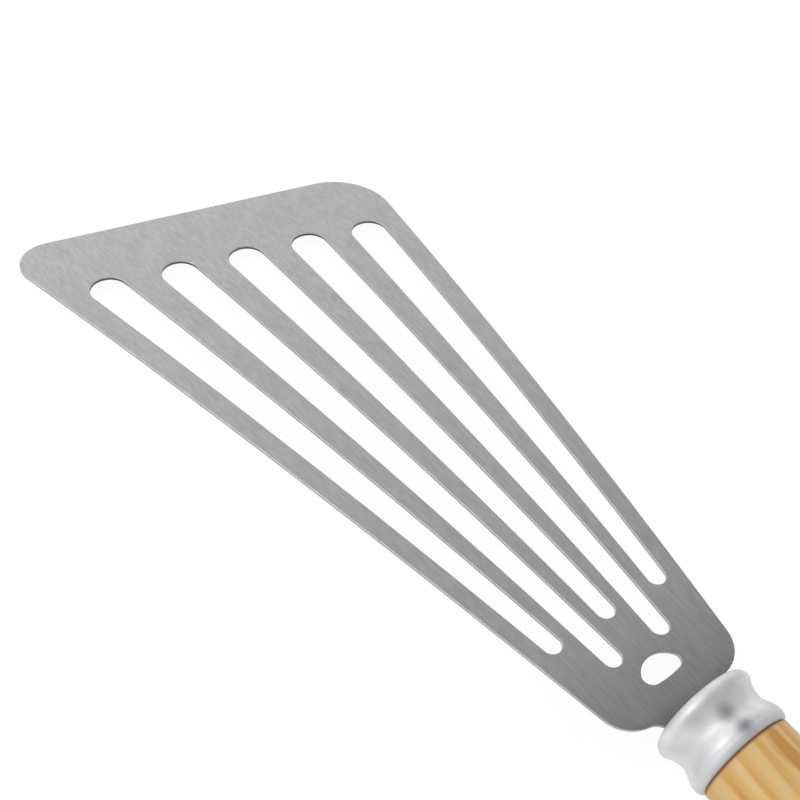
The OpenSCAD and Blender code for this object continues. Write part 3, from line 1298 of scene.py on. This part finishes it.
def add_key_lamp(settings):
    """A square soft lamp that shines on the middle of the floor."""
    lamp = bpy.data.lights.new("key_lamp", "AREA")
    lamp.shape = "SQUARE"
    lamp.size = settings.key_size
    lamp.energy = settings.key_power
    holder = bpy.data.objects.new("key_lamp", lamp)
    holder.location = settings.key_place
    holder.rotation_euler = (-Vector(settings.key_place)).to_track_quat("-Z", "Y").to_euler()
    holder.visible_camera = False
    bpy.context.scene.collection.objects.link(holder)


def add_camera(settings):
    """The camera that sees the spatula as in the photo."""
    camera = bpy.data.objects.new("photo_camera", bpy.data.cameras.new("photo_camera"))
    camera.location = settings.camera_place
    camera.rotation_euler = settings.camera_turn
    camera.data.lens = settings.camera_lens
    camera.data.sensor_width = 36.0
    camera.data.clip_start = 0.01
    camera.data.clip_end = 50.0
    bpy.context.scene.collection.objects.link(camera)
    bpy.context.scene.camera = camera


class SPATULA_OT_set_stage(bpy.types.Operator):
    """Add the pale floor, the soft light and the camera"""

    bl_idname = "spatula.set_stage"
    bl_label = "Set the Stage"
    bl_options = {"REGISTER", "UNDO"}

    def execute(self, context):
        settings = context.scene.spatula_stage
        shape = bmesh.new()
        bmesh.ops.create_grid(shape, x_segments=1, y_segments=1, size=settings.floor_half)
        new_object("studio_floor", shape, (floor_material(settings),))
        context.scene.world = studio_world(settings)
        add_key_lamp(settings)
        add_camera(settings)
        context.scene.view_settings.view_transform = "Standard"
        return {"FINISHED"}


class SPATULA_PT_sidebar(bpy.types.Panel):
    """Buttons that dress the spatula, piece by piece"""

    bl_label = "Fish Spatula"
    bl_space_type = "VIEW_3D"
    bl_region_type = "UI"
    bl_category = "Spatula"

    def draw(self, context):
        layout = self.layout
        for operator, settings in (
            ("spatula.add_blade", context.scene.spatula_blade),
            ("spatula.add_bolster", context.scene.spatula_bolster),
            ("spatula.add_handle", context.scene.spatula_handle),
            ("spatula.finish_adhesive", None),
            ("spatula.set_stage", context.scene.spatula_stage),
        ):
            box = layout.box()
            box.operator(operator)
            if settings:
                for name in settings.__annotations__:
                    box.prop(settings, name)


SETTINGS = {
    "spatula_blade": BladeSettings,
    "spatula_bolster": BolsterSettings,
    "spatula_handle": HandleSettings,
    "spatula_stage": StageSettings,
}


CLASSES = (
    BladeSettings,
    BolsterSettings,
    HandleSettings,
    StageSettings,
    SPATULA_OT_add_blade,
    SPATULA_OT_add_bolster,
    SPATULA_OT_add_handle,
    SPATULA_OT_finish_adhesive,
    SPATULA_OT_set_stage,
    SPATULA_PT_sidebar,
)


def register():
    """Makes the settings, buttons and panel known to Blender."""
    for cls in CLASSES:
        bpy.utils.register_class(cls)
    for name, group in SETTINGS.items():
        setattr(bpy.types.Scene, name, PointerProperty(type=group))


def unregister():
    """Takes them out again."""
    for name in SETTINGS:
        delattr(bpy.types.Scene, name)
    for cls in reversed(CLASSES):
        bpy.utils.unregister_class(cls)


def remove_strangers():
    """Removes what Blender's own start-up scene holds, which is no part of the spatula."""
    own = [*frame["nodes"].values(), *frame["bodies"].values()]
    for thing in list(bpy.data.objects):
        if thing not in own:
            bpy.data.objects.remove(thing)


def main():
    """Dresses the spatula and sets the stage."""
    remove_strangers()
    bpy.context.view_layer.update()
    register()
    bpy.ops.spatula.add_blade()
    bpy.ops.spatula.add_bolster()
    bpy.ops.spatula.add_handle()
    bpy.ops.spatula.finish_adhesive()
    bpy.ops.spatula.set_stage()


if __name__ == "__main__":
    main()
